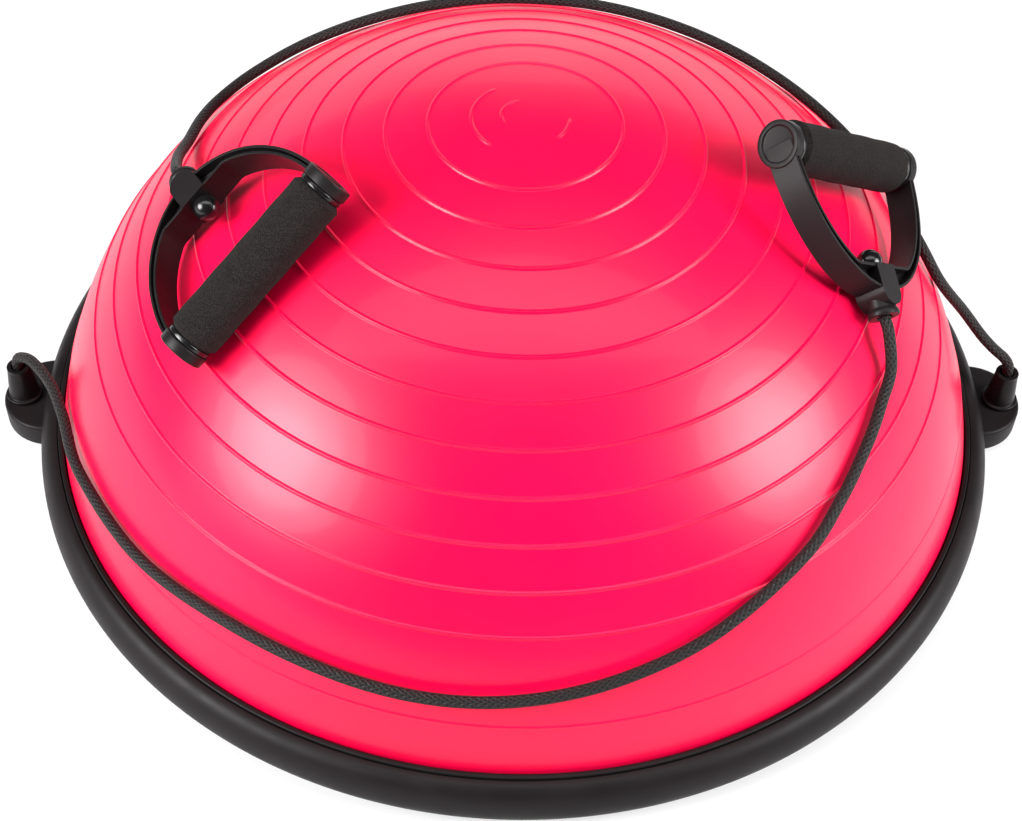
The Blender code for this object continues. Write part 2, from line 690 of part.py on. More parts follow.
def build_handle(side, plastic, gloss, foam):
    frame = handle_frame(side)
    up_pull = add_empty(f"{side}_pull_axis", frame @ Matrix.Translation((0, COLLAR_END_V, 0)))
    swing = add_empty(f"{side}_swing_axis", Matrix.Identity(4), up_pull)
    grip = add_empty(f"{side}_grip_axis", Matrix.Translation((0, -COLLAR_END_V, 0)), swing)

    yoke = add_object(f"{side}_yoke", yoke_arm(), plastic)
    place(yoke, swing, (0, -COLLAR_END_V, 0))
    add_boolean(yoke, "UNION", f"{side}_add_discs", joined(end_disc(1), end_disc(-1)))
    add_boolean(yoke, "UNION", f"{side}_add_boss", boss_block())
    add_boolean(yoke, "UNION", f"{side}_add_collar", collar())
    bore = along_y(round_bar(CORD_BORE_RADIUS, BALL_V, COLLAR_END_V + 0.002, 16))
    add_boolean(yoke, "DIFFERENCE", f"{side}_cut_bore", bore)
    socket = moved(ball(BALL_RADIUS + FIT_GAP, 0.0, 20, 10), Matrix.Translation((0, BALL_V, 0)))
    add_boolean(yoke, "DIFFERENCE", f"{side}_cut_socket", socket)

    stop = add_object(f"{side}_stop_ball", ball(BALL_RADIUS, 0.0, 20, 10), gloss)
    place(stop, swing, (0, BALL_V - COLLAR_END_V, 0))

    tube_half = DISC_IN - FIT_GAP
    tube = round_tube(TUBE_RADIUS, TUBE_BORE_RADIUS, -tube_half, tube_half, 20)
    place(add_object(f"{side}_grip_tube", along_x(tube), plastic), grip)
    sleeve = round_tube(FOAM_RADIUS, TUBE_RADIUS + FIT_GAP, -FOAM_LENGTH / 2, FOAM_LENGTH / 2, 28, FOAM_EDGE)
    place(add_object(f"{side}_foam_grip", along_x(sleeve), foam), grip)
    for number, end in ((1, 1), (2, -1)):
        low, high = sorted((end * GRIP_RING_IN, end * (GRIP_RING_IN + GRIP_RING_THICKNESS)))
        ring = round_tube(GRIP_RING_RADIUS, TUBE_RADIUS + FIT_GAP, low, high, 24)
        place(add_object(f"{side}_grip_ring_{number}", along_x(ring), gloss), grip)
    return frame


# ---------------------------------------------------------------- cords
def smooth_route(points, count):
    """Evenly spaced points on a smooth curve through the route's own points."""
    points = [Vector(point) for point in points]
    padded = [2 * points[0] - points[1]] + points + [2 * points[-1] - points[-2]]
    dense = []
    for before, start, end, after in zip(padded, padded[1:], padded[2:], padded[3:]):
        for i in range(24):
            s = i / 24
            enter = (end - before) / 2
            leave = (after - start) / 2
            dense.append(
                start * (2 * s**3 - 3 * s**2 + 1)
                + enter * (s**3 - 2 * s**2 + s)
                + end * (3 * s**2 - 2 * s**3)
                + leave * (s**3 - s**2)
            )
    dense.append(points[-1])
    lengths = [0.0]
    for low, high in zip(dense, dense[1:]):
        lengths.append(lengths[-1] + (high - low).length)
    even = []
    k = 0
    for i in range(count):
        wanted = lengths[-1] * i / (count - 1)
        while k < len(dense) - 2 and lengths[k + 1] < wanted:
            k += 1
        part = (wanted - lengths[k]) / (lengths[k + 1] - lengths[k])
        even.append(dense[k].lerp(dense[k + 1], part))
    return even, lengths[-1]


def cord_tube(name, points, rubber):
    curve = bpy.data.curves.new(name, "CURVE")
    curve.dimensions = "3D"
    curve.bevel_depth = CORD_RADIUS
    curve.bevel_resolution = 2
    curve.use_fill_caps = True
    spline = curve.splines.new("POLY")
    spline.points.add(len(points) - 1)
    for slot, point in zip(spline.points, points):
        slot.co = (*point, 1.0)
    curve.materials.append(rubber)
    item = bpy.data.objects.new(name, curve)
    bpy.context.collection.objects.link(item)
    return item


def build_cord(side, ear, route, frame, rubber):
    """One elastic cord, in two stretches that meet with a small gap: the long one and the handle's tail."""
    start = Vector((ear * CORD_OFFSET, 0, POCKET_TOP_Z))
    inside = Vector((ear * CORD_OFFSET, 0, SLEEVE_TOP_Z - 0.012))
    leaving = Vector((ear * CORD_OFFSET, 0, SLEEVE_TOP_Z + 0.003))
    mouth = frame @ Vector((0, COLLAR_END_V + FIT_GAP, 0))
    ahead = frame @ Vector((0, COLLAR_END_V + 0.009, 0))
    points, length = smooth_route([start, inside, leaving] + route + [ahead, mouth], CORD_POINTS)
    spacing = length / (CORD_POINTS - 1)
    tail_count = round(CORD_TAIL / spacing)
    cord_tube(f"{side}_cord", points[:-tail_count], rubber)
    first, second = points[-tail_count - 1], points[-tail_count]
    tail_start = first.lerp(second, min(1.0, FIT_GAP / spacing))
    cord_tube(f"{side}_cord_tail", [tail_start] + points[-tail_count:], rubber)


# ---------------------------------------------------------------- the trainer
def main():
    clear_scene()
    plastic = finish("black_plastic", (0.022, 0.020, 0.021), 0.42)
    vinyl = finish("pink_vinyl", (0.90, 0.004, 0.075), 0.16)
    rubber = finish("black_rubber", (0.018, 0.016, 0.017), 0.50)
    gloss = finish("black_gloss", (0.010, 0.009, 0.010), 0.12)
    foam = finish("charcoal_foam", (0.032, 0.027, 0.026), 0.92)
    braid = finish("black_cord", (0.020, 0.019, 0.019), 0.60)
    steel = finish("zinc_steel", (0.55, 0.55, 0.56), 0.35, 1.0)

    build_tray(plastic)
    build_clamp_ring(plastic)
    build_feet(rubber)
    build_screws(steel)
    build_bladder(vinyl)
    build_valve(rubber, plastic)
    build_ear_fittings(rubber, gloss)
    for side, ear, route in (("left", 1, LEFT_CORD), ("right", -1, RIGHT_CORD)):
        frame = build_handle(side, plastic, gloss, foam)
        build_cord(side, ear, route, frame, braid)


main()
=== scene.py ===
"""Looks of the balance dome trainer: materials, fine shapes, cords, floor, lights and camera.

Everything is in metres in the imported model's own frame: the floor is z = 0, +Z is up, +X points
through the right ear and -Y is the front. The sizes below repeat the driving sizes of the part.
"""

import math

import bmesh
import bpy
from mathutils import Matrix, Vector


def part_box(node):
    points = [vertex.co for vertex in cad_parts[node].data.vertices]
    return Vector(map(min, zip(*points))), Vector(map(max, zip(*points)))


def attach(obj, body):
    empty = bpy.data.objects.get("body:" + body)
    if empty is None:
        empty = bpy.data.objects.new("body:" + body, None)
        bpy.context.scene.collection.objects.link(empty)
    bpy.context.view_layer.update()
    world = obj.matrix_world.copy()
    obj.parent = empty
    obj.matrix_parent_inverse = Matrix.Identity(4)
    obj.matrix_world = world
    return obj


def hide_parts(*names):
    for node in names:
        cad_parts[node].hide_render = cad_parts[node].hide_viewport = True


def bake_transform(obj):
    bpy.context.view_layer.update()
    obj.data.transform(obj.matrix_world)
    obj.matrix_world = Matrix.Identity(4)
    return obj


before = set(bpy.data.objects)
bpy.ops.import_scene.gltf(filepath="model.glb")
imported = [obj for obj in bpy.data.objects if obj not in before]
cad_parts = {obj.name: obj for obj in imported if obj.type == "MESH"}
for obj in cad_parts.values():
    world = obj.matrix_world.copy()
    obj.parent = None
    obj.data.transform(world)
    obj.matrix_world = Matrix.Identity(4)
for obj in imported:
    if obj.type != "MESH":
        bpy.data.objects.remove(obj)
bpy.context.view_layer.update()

# ---------------------------------------------------------------- sizes of the part
GAP = 0.0003
TRAY_TOP_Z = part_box("base_tray")[1].z
TRAY_UNDERSIDE_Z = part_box("base_tray")[0].z
TRAY_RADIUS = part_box("base_tray")[1].y
TRAY_WIDEST_Z = 0.0160
TRAY_WALL_RUN = 0.0107
TRAY_FOOT_INSET = 0.0130
TRAY_LIP_WIDTH = 0.0012
TRAY_DECK_Z = 0.0120
EAR_RADIUS = 0.0290
EAR_TOP_Z = 0.0200
EAR_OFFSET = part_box("base_tray")[1].x - EAR_RADIUS
EAR_POCKET_RADIUS = 0.0090
EAR_POCKET_TOP_Z = 0.0150
EAR_HOLE_RADIUS = 0.0059
EAR_EDGE = 0.0022           # rounding of an ear's rim
CORD_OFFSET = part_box("base_tray")[1].x - 0.0125
FOOT_COUNT = 6
FOOT_CIRCLE = 0.2300
FOOT_RADIUS = 0.0190
FOOT_RECESS = 0.0015
FOOT_CLEARANCE = 0.0006
SCREW_COUNT = 10
SCREW_HEAD_HOLE = 0.0040
SCREW_SHANK_HOLE = 0.0020
SCREW_HEAD_TOP_Z = 0.0068
CUT_LOW_Z = -0.002          # every cut into the underside starts below the floor
LARGE_SEGMENTS = 288        # faces round the dome, the platform and the ring
RING_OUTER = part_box("clamp_ring")[1].y
RING_TOP_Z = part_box("clamp_ring")[1].z
RING_WIDTH = 0.0030
SCREW_CIRCLE = RING_OUTER - 0.0047

DOME_REACH = 0.2796
DOME_RISE = 0.2886
DOME_FOOT_Z = -0.0445
DOME_R_POWER = 1.1206
DOME_Z_POWER = 0.7818
DOME_SHOULDER_Z = 0.0320
DOME_TUCK = 0.0075
DOME_LOW_Z = 0.0156
RIB_COUNT = 11
RIB_FIRST = 0.0525
RIB_PITCH = 0.0236
RIB_WIDTH = 0.0027
RIB_HEIGHT = 0.0008
SEAM_DISTANCE = 0.3420
SEAM_HEIGHT = 0.00035
ARC_FADE = 0.004            # a crown arc runs out over this length at each end
ROW_STEP = 0.004            # between rows of the skin away from the ridges
ROW_CLEARANCE = 0.0010
TUCK_STEPS = 12

# short moulded arcs inside the first ring: radius, then first and last azimuth in radians
CROWN_ARCS = [
    (0.0290, 2.15, 4.05),
    (0.0130, 1.80, 3.75),
    (0.0235, 5.45, 6.27),
]

VALVE_DISTANCE = 0.3150
VALVE_LIFT = 0.0008
VALVE_BORE_RADIUS = 0.0045
VALVE_NECK_RADIUS = 0.0077
VALVE_NECK_LOW = -0.0088
VALVE_FLANGE_RADIUS = 0.0130
VALVE_FLANGE_TOP = 0.0016
PLUG_SHANK_RADIUS = 0.0042
PLUG_HEAD_RADIUS = 0.0080
PLUG_HEAD_LOW = 0.0019
PLUG_HEAD_HIGH = 0.0041

CORD_RADIUS = 0.00325
CORD_BORE_RADIUS = 0.0043
SLEEVE_TOP_Z = 0.0450
SLEEVE_SPIGOT_RADIUS = 0.0056
SLEEVE_FLANGE_RADIUS = 0.0110
ANCHOR_RADIUS = 0.0070
ANCHOR_Z = 0.0077

FOAM_LENGTH = 0.1000
FOAM_RADIUS = 0.01425
FOAM_EDGE = 0.0024
GRIP_RING_RADIUS = 0.0125
GRIP_RING_THICKNESS = 0.0026
GRIP_RING_BORE_RADIUS = 0.0103
TUBE_RADIUS = 0.0100
TUBE_BORE_RADIUS = 0.0076
DISC_RADIUS = 0.0130
DISC_THICKNESS = 0.0060
DISC_SPIGOT_RADIUS = 0.0070
DISC_SPIGOT_LENGTH = 0.008
YOKE_DEPTH = 0.0800
YOKE_WALL = 0.0018
YOKE_BAND = 0.0045
YOKE_HALF_HEIGHT = 0.0085
YOKE_WEB_HALF = 0.0022
YOKE_INNER_DEPTH = 0.0730
SEAT_V = 0.0655
BOSS_HALF_WIDTH = 0.0085
BOSS_END_V = 0.0885
COLLAR_END_V = 0.0930
COLLAR_RADIUS = 0.0087
BALL_RADIUS = 0.00725
BALL_V = 0.0615
BALL_ROWS = 24
DISC_IN = FOAM_LENGTH / 2 + GRIP_RING_THICKNESS + 2 * GAP
DISC_OUT = DISC_IN + DISC_THICKNESS

# where each handle lies: azimuth, dome parameter, yaw, pitch and roll in degrees, then its lift off the skin
HANDLES = {
    "left": (-148.7, 53.9, 93.0, -7.5, -5.4, 0.0022),
    "right": (0.2, 52.6, 115.7, -15.8, -6.0, 0.0091),
}

# the cords' routes, from an ear's sleeve to the handle
CORD_TAIL = 0.060
CORD_LEAD = 0.009           # the cord runs straight into the collar over this length
CORD_POINTS = 66
CORD_DETAIL = 5             # finer steps between those points
SLEEVE_INSIDE = 0.012       # the cord is straight from this far below the sleeve's top
SLEEVE_OUTSIDE = 0.003      # to this far above it
LEFT_CORD = [
    (0.2997, 0.0018, 0.0550),
    (0.2915, 0.0040, 0.0620),
    (0.2820, 0.0060, 0.0720),
    (0.2685, 0.0090, 0.0890),
    (0.2479, 0.0060, 0.1172),
    (0.2336, 0.0180, 0.1372),
    (0.2154, 0.0561, 0.1513),
    (0.1837, 0.0964, 0.1668),
    (0.1442, 0.1271, 0.1800),
    (0.0995, 0.1473, 0.1909),
    (0.0490, 0.1593, 0.1984),
    (-0.0051, 0.1615, 0.2015),
    (-0.0528, 0.1575, 0.1987),
    (-0.0949, 0.1514, 0.1903),
    (-0.1307, 0.1448, 0.1778),
    (-0.1605, 0.1284, 0.1686),
    (-0.1794, 0.1079, 0.1650),
    (-0.1881, 0.0860, 0.1674),
    (-0.1922, 0.0616, 0.1724),
    (-0.1945, 0.0380, 0.1815),
    (-0.1925, 0.0170, 0.1925),
]
RIGHT_CORD = [
    (-0.2997, -0.0018, 0.0545),
    (-0.2900, -0.0110, 0.0605),
    (-0.2755, -0.0325, 0.0645),
    (-0.2639, -0.0596, 0.0681),
    (-0.2463, -0.1076, 0.0735),
    (-0.2052, -0.1704, 0.0791),
    (-0.1515, -0.2168, 0.0847),
    (-0.0974, -0.2462, 0.0840),
    (-0.0484, -0.2606, 0.0834),
    (-0.0006, -0.2637, 0.0866),
    (0.0476, -0.2560, 0.0941),
    (0.0959, -0.2359, 0.1056),
    (0.1416, -0.2004, 0.1215),
    (0.1635, -0.1714, 0.1338),
    (0.1806, -0.1400, 0.1444),
    (0.1898, -0.1178, 0.1508),
    (0.1958, -0.1010, 0.1570),
]

# the camera, at the height and angle of the product view
CAMERA_PLACE = Vector((-0.0323, -0.7624, 0.8756))
CAMERA_AIM = Vector((-0.0023, 0.0, 0.0064))
CAMERA_ROLL = math.radians(2.03)
CAMERA_LENS = 64.84


# ---------------------------------------------------------------- shapes
def dome_point(t):
    """Radius and height of the skin at parameter t: 0 at its foot, a quarter turn at its crown."""
    radius = DOME_REACH * max(math.cos(t), 0.0) ** DOME_R_POWER
    height = DOME_FOOT_Z + DOME_RISE * math.sin(t) ** DOME_Z_POWER
    return radius, height


def dome_slope(t):
    """The outward normal at t, as (radius, height)."""
    step = 1e-4
    low_r, low_z = dome_point(max(t - step, 0.0))
    high_r, high_z = dome_point(min(t + step, math.pi / 2))
    down = Vector((low_r - high_r, low_z - high_z)).normalized()
    return Vector((-down.y, down.x))


def dome_walk():
    """Distances down the skin from the crown to the shoulder, each with its t."""
    steps = 6000
    walk = [(0.0, math.pi / 2)]
    last = dome_point(math.pi / 2)
    for i in range(1, steps):
        t = math.pi / 2 * (1 - i / steps)
        point = dome_point(t)
        walk.append((walk[-1][0] + math.dist(point, last), t))
        last = point
        if point[1] <= DOME_SHOULDER_Z:
            break
    return walk


DOME_WALK = dome_walk()
SHOULDER_DISTANCE, SHOULDER_T = DOME_WALK[-1]


def at_distance(distance):
    low, high = 0, len(DOME_WALK) - 1
    while high - low > 1:
        middle = (low + high) // 2
        if DOME_WALK[middle][0] < distance:
            low = middle
        else:
            high = middle
    return DOME_WALK[high][1]


def dome_frame(azimuth, t, lift):
    """X along the parallel, Y up the slope and Z outward, lifted off the skin."""
    normal = dome_slope(t)
    radius, height = dome_point(t)
    radius += normal.x * lift
    height += normal.y * lift
    side = Vector((-math.sin(azimuth), math.cos(azimuth), 0.0))
    out = Vector((normal.x * math.cos(azimuth), normal.x * math.sin(azimuth), normal.y))
    place = Matrix((side, out.cross(side), out)).transposed().to_4x4()
    place.translation = Vector((radius * math.cos(azimuth), radius * math.sin(azimuth), height))
    return place


def handle_frame(side):
    azimuth, t, yaw, pitch, roll = (math.radians(value) for value in HANDLES[side][:5])
    turn = Matrix.Rotation(yaw, 4, "Z") @ Matrix.Rotation(pitch, 4, "X") @ Matrix.Rotation(roll, 4, "Y")
    return dome_frame(azimuth, t, FOAM_RADIUS + HANDLES[side][5]) @ turn


def add_mesh(name, build, place=None, sharp=35.0):
    bmesh.ops.recalc_face_normals(build, faces=build.faces)
    mesh = bpy.data.meshes.new(name)
    build.to_mesh(mesh)
    build.free()
    if place is not None:
        mesh.transform(place)
    mesh.shade_smooth()
    mesh.set_sharp_from_angle(angle=math.radians(sharp))
    item = bpy.data.objects.new(name, mesh)
    bpy.context.scene.collection.objects.link(item)
    return item


def lathe(profile, segments):
    """Turn (radius, height) points about Z. The outline closes on itself, or on the axis at radius 0."""
    build = bmesh.new()
    rings = []
    for radius, height in profile:
        if radius < 1e-9:
            rings.append([build.verts.new((0.0, 0.0, height))])
            continue
        turns = [2 * math.pi * i / segments for i in range(segments)]
        rings.append([build.verts.new((radius * math.cos(a), radius * math.sin(a), height)) for a in turns])
    for low, high in zip(rings, rings[1:] + rings[:1]):
        if len(low) == 1 and len(high) == 1:
            continue
        for i in range(segments):
            j = (i + 1) % segments
            corners = [low[i % len(low)], low[j % len(low)], high[j % len(high)], high[i % len(high)]]
            build.faces.new(list(dict.fromkeys(corners)))
    return build


def rounded(profile, radius, steps=4):
    """Round the corners of an outline that is open at the axis or closed."""
    points = [Vector(point) for point in profile]
    result = []
    count = len(points)
    for i, point in enumerate(points):
        if point.x < 1e-9:
            result.append(tuple(point))
            continue
        before = points[i - 1] - point
        after = points[(i + 1) % count] - point
        cut = min(radius, before.length * 0.45, after.length * 0.45)
        if cut < 1e-6:
            result.append(tuple(point))
            continue
        start = point + before.normalized() * cut
        end = point + after.normalized() * cut
        for k in range(steps + 1):
            s = k / steps
            result.append(tuple((1 - s) ** 2 * start + 2 * s * (1 - s) * point + s * s * end))
    return result


def ball_outline(radius, height, rings=BALL_ROWS):
    outline = []
    for i in range(rings + 1):
        a = math.pi * i / rings
        outline.append((radius * math.sin(a) if 0 < i < rings else 0.0, height - radius * math.cos(a)))
    return outline


def cut_away(item, build, operation="DIFFERENCE"):
    """Apply one exact cut or union, then drop the helper."""
    helper = add_mesh("helper", build)
    modifier = item.modifiers.new("cut", "BOOLEAN")
    modifier.operation = operation
    modifier.solver = "EXACT"
    modifier.object = helper
    graph = bpy.context.evaluated_depsgraph_get()
    mesh = bpy.data.meshes.new_from_object(item.evaluated_get(graph))
    item.modifiers.clear()
    item.data = mesh
    bpy.data.objects.remove(helper, do_unlink=True)


def joined(builds):
    whole = bmesh.new()
    for build in builds:
        mesh = bpy.data.meshes.new("piece")
        build.to_mesh(mesh)
        build.free()
        whole.from_mesh(mesh)
        bpy.data.meshes.remove(mesh)
    return whole


def moved(build, matrix):
    bmesh.ops.transform(build, matrix=matrix, verts=build.verts)
    return build


def along_x(build):
    return moved(build, Matrix.Rotation(math.radians(90), 4, "Y"))


def along_y(build):
    return moved(build, Matrix.Rotation(math.radians(-90), 4, "X"))


def finish_piece(item, material, body, *nodes):
    """Give a piece its material, let it ride on its body and stand for its CAD nodes."""
    item.data.materials.clear()
    item.data.materials.append(material)
    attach(item, body)
    if nodes:
        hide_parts(*nodes)
    return item


# ---------------------------------------------------------------- materials
class Nodes:
    """A small helper that adds shader nodes to one material."""

    def __init__(self, name, colour, roughness, metallic=0.0):
        self.material = bpy.data.materials.new(name)
        self.material.use_nodes = True
        self.tree = self.material.node_tree
        self.shader = self.tree.nodes["Principled BSDF"]
        self.shader.inputs["Base Color"].default_value = (*colour, 1.0)
        self.shader.inputs["Roughness"].default_value = roughness
        self.shader.inputs["Metallic"].default_value = metallic
        self.material.diffuse_color = (*colour, 1.0)
        self.place = self.tree.nodes.new("ShaderNodeTexCoord")

    def set(self, **values):
        for name, value in values.items():
            self.shader.inputs[name.replace("_", " ")].default_value = value

    def noise(self, scale, detail=3.0):
        node = self.tree.nodes.new("ShaderNodeTexNoise")
        node.inputs["Scale"].default_value = scale
        node.inputs["Detail"].default_value = detail
        self.tree.links.new(self.place.outputs["Object"], node.inputs["Vector"])
        return node.outputs["Fac"]

    def ramp(self, source, low, high, first, second):
        """Map a value that runs low to high onto two colours."""
        node = self.tree.nodes.new("ShaderNodeValToRGB")
        node.color_ramp.elements[0].position = low
        node.color_ramp.elements[1].position = high
        node.color_ramp.elements[0].color = (*first, 1.0)
        node.color_ramp.elements[1].color = (*second, 1.0)
        self.tree.links.new(source, node.inputs["Fac"])
        return node.outputs["Color"]

    def spread(self, source, low, high, first, second):
        """Map a value that runs low to high onto first to second."""
        node = self.tree.nodes.new("ShaderNodeMapRange")
        node.inputs["From Min"].default_value = low
        node.inputs["From Max"].default_value = high
        node.inputs["To Min"].default_value = first
        node.inputs["To Max"].default_value = second
        self.tree.links.new(source, node.inputs["Value"])
        return node.outputs["Result"]

    def math(self, operation, first, second=None):
        """A maths node on two values or sockets, or on one."""
        node = self.tree.nodes.new("ShaderNodeMath")
        node.operation = operation
        for socket, value in zip(node.inputs, (first, second)):
            if value is None:
                continue
            if isinstance(value, (int, float)):
                socket.default_value = value
            else:
                self.tree.links.new(value, socket)
        return node.outputs["Value"]

    def link(self, source, name):
        self.tree.links.new(source, self.shader.inputs[name])

    def bump(self, source, strength, distance, below=None):
        """Raise the surface by a value, over the bumps below it."""
        node = self.tree.nodes.new("ShaderNodeBump")
        node.inputs["Strength"].default_value = strength
        node.inputs["Distance"].default_value = distance
        self.tree.links.new(source, node.inputs["Height"])
        if below is not None:
            self.tree.links.new(below, node.inputs["Normal"])
        self.tree.links.new(node.outputs["Normal"], self.shader.inputs["Normal"])
        return node.outputs["Normal"]


def make_vinyl():
    made = Nodes("pink_vinyl", (0.99, 0.0002, 0.062), 0.33)
    colour = made.ramp(made.noise(5.0), 0.35, 0.65, (0.95, 0.0003, 0.050), (1.0, 0.0008, 0.064))
    made.link(colour, "Base Color")
    made.link(made.spread(made.noise(14.0, 5.0), 0.3, 0.7, 0.30, 0.37), "Roughness")
    soft = made.bump(made.noise(7.0, 1.0), 0.25, 0.004)
    made.bump(made.noise(420.0, 2.0), 0.04, 0.0004, soft)
    made.set(Coat_Weight=0.10, Coat_Roughness=0.07, Specular_IOR_Level=0.29)
    return made.material


def make_satin(name, colour, roughness, grain):
    made = Nodes(name, colour, roughness)
    lighter = tuple(value * 1.35 for value in colour)
    made.link(made.ramp(made.noise(22.0, 4.0), 0.35, 0.70, colour, lighter), "Base Color")
    made.link(made.spread(made.noise(60.0, 6.0), 0.3, 0.7, roughness - 0.05, roughness + 0.07), "Roughness")
    soft = made.bump(made.noise(40.0, 2.0), 0.10, 0.0008)
    made.bump(made.noise(grain, 2.0), 0.22, 0.00025, soft)
    made.set(Specular_IOR_Level=0.16)
    return made.material


def make_gloss():
    made = Nodes("gloss_black", (0.008, 0.0075, 0.008), 0.16)
    made.link(made.spread(made.noise(90.0, 5.0), 0.3, 0.7, 0.11, 0.24), "Roughness")
    made.bump(made.noise(180.0, 2.0), 0.05, 0.0003)
    return made.material


def make_foam():
    made = Nodes("charcoal_foam", (0.0124, 0.0105, 0.0099), 0.95)
    cells = made.tree.nodes.new("ShaderNodeTexVoronoi")
    cells.inputs["Scale"].default_value = 1500.0
    made.tree.links.new(made.place.outputs["Object"], cells.inputs["Vector"])
    speck = made.noise(1900.0, 2.0)
    made.link(made.ramp(speck, 0.42, 0.68, (0.0060, 0.0048, 0.0046), (0.0310, 0.0255, 0.0235)), "Base Color")
    low = made.bump(cells.outputs["Distance"], 0.55, 0.0006)
    made.bump(made.noise(900.0, 4.0), 0.5, 0.0005, low)
    made.set(Sheen_Weight=0.01, Sheen_Roughness=0.5, Specular_IOR_Level=0.15)
    return made.material


def make_braid():
    """Two sets of strands that cross, drawn along the cord's own length and girth."""
    made = Nodes("black_braid", (0.0124, 0.0112, 0.0112), 0.55)
    split = made.tree.nodes.new("ShaderNodeSeparateXYZ")
    made.tree.links.new(made.place.outputs["UV"], split.inputs["Vector"])
    around = made.math("MULTIPLY", split.outputs["X"], 8.0 * 2 * math.pi)
    along = made.math("MULTIPLY", split.outputs["Y"], 2 * math.pi / 0.0042)
    one = made.math("SINE", made.math("ADD", around, along))
    other = made.math("SINE", made.math("SUBTRACT", around, along))
    weave = made.math("MAXIMUM", one, other)
    made.link(made.ramp(weave, 0.0, 1.0, (0.0045, 0.0036, 0.0037), (0.0190, 0.0150, 0.0155)), "Base Color")
    rough = made.spread(made.noise(300.0, 3.0), 0.3, 0.7, 0.42, 0.62)
    made.link(rough, "Roughness")
    made.bump(weave, 0.7, 0.00035)
    made.set(Sheen_Weight=0.02, Sheen_Roughness=0.35, Specular_IOR_Level=0.25)
    return made.material


def make_steel():
    made = Nodes("zinc_steel", (0.55, 0.55, 0.56), 0.32, 1.0)
    made.link(made.spread(made.noise(500.0, 3.0), 0.3, 0.7, 0.22, 0.42), "Roughness")
    made.bump(made.noise(800.0, 2.0), 0.08, 0.0002)
    return made.material


# ---------------------------------------------------------------- camera and cords
def add_camera():
    data = bpy.data.cameras.new("camera")
    data.sensor_width = 36.0
    data.lens = CAMERA_LENS
    data.clip_start = 0.05
    data.clip_end = 60.0
    camera = bpy.data.objects.new("camera", data)
    bpy.context.scene.collection.objects.link(camera)
    ahead = (CAMERA_AIM - CAMERA_PLACE).normalized()
    level = ahead.cross(Vector((0, 0, 1))).normalized()
    lift = level.cross(ahead)
    right = level * math.cos(CAMERA_ROLL) + lift * math.sin(CAMERA_ROLL)
    up = lift * math.cos(CAMERA_ROLL) - level * math.sin(CAMERA_ROLL)
    turn = Matrix((right, up, -ahead)).transposed().to_4x4()
    turn.translation = CAMERA_PLACE
    camera.matrix_world = turn
    bpy.context.scene.camera = camera


def smooth_route(points, count):
    """Evenly spaced points on a smooth curve through the route's own points."""
    points = [Vector(point) for point in points]
    padded = [2 * points[0] - points[1]] + points + [2 * points[-1] - points[-2]]
    dense = []
    for before, start, end, after in zip(padded, padded[1:], padded[2:], padded[3:]):
        for i in range(24):
            s = i / 24
            enter = (end - before) / 2
            leave = (after - start) / 2
            dense.append(
                start * (2 * s**3 - 3 * s**2 + 1)
                + enter * (s**3 - 2 * s**2 + s)
                + end * (3 * s**2 - 2 * s**3)
                + leave * (s**3 - s**2)
            )
    dense.append(points[-1])
    lengths = [0.0]
    for low, high in zip(dense, dense[1:]):
        lengths.append(lengths[-1] + (high - low).length)
    even = []
    k = 0
    for i in range(count):
        wanted = lengths[-1] * i / (count - 1)
        while k < len(dense) - 2 and lengths[k + 1] < wanted:
            k += 1
        part = (wanted - lengths[k]) / (lengths[k + 1] - lengths[k])
        even.append(dense[k].lerp(dense[k + 1], part))
    return even, lengths[-1]


def cord_mesh(name, points, sides=20):
    """A round tube with a texture map of turns round it and metres along it."""
    build = bmesh.new()
    layer = build.loops.layers.uv.new("map")
    ahead = (points[1] - points[0]).normalized()
    across = ahead.orthogonal().normalized()
    rings = []
    run = [0.0]
    for i, point in enumerate(points):
        step = points[min(i + 1, len(points) - 1)] - points[max(i - 1, 0)]
        turn = ahead.rotation_difference(step.normalized())
        across = turn @ across
        ahead = step.normalized()
        other = ahead.cross(across).normalized()
        if i:
            run.append(run[-1] + (point - points[i - 1]).length)
        ring = []
        for k in range(sides):
            a = 2 * math.pi * k / sides
            ring.append(build.verts.new(point + (across * math.cos(a) + other * math.sin(a)) * CORD_RADIUS))
        rings.append(ring)
    for i in range(len(rings) - 1):
        for k in range(sides):
            m = (k + 1) % sides
            face = build.faces.new((rings[i][k], rings[i][m], rings[i + 1][m], rings[i + 1][k]))
            spots = ((k, i), (k + 1, i), (k + 1, i + 1), (k, i + 1))
            for loop, (turn, row) in zip(face.loops, spots):
                loop[layer].uv = (turn / sides, run[row])
    build.faces.new(rings[0])
    build.faces.new(reversed(rings[-1]))
    return add_mesh(name, build, sharp=60)


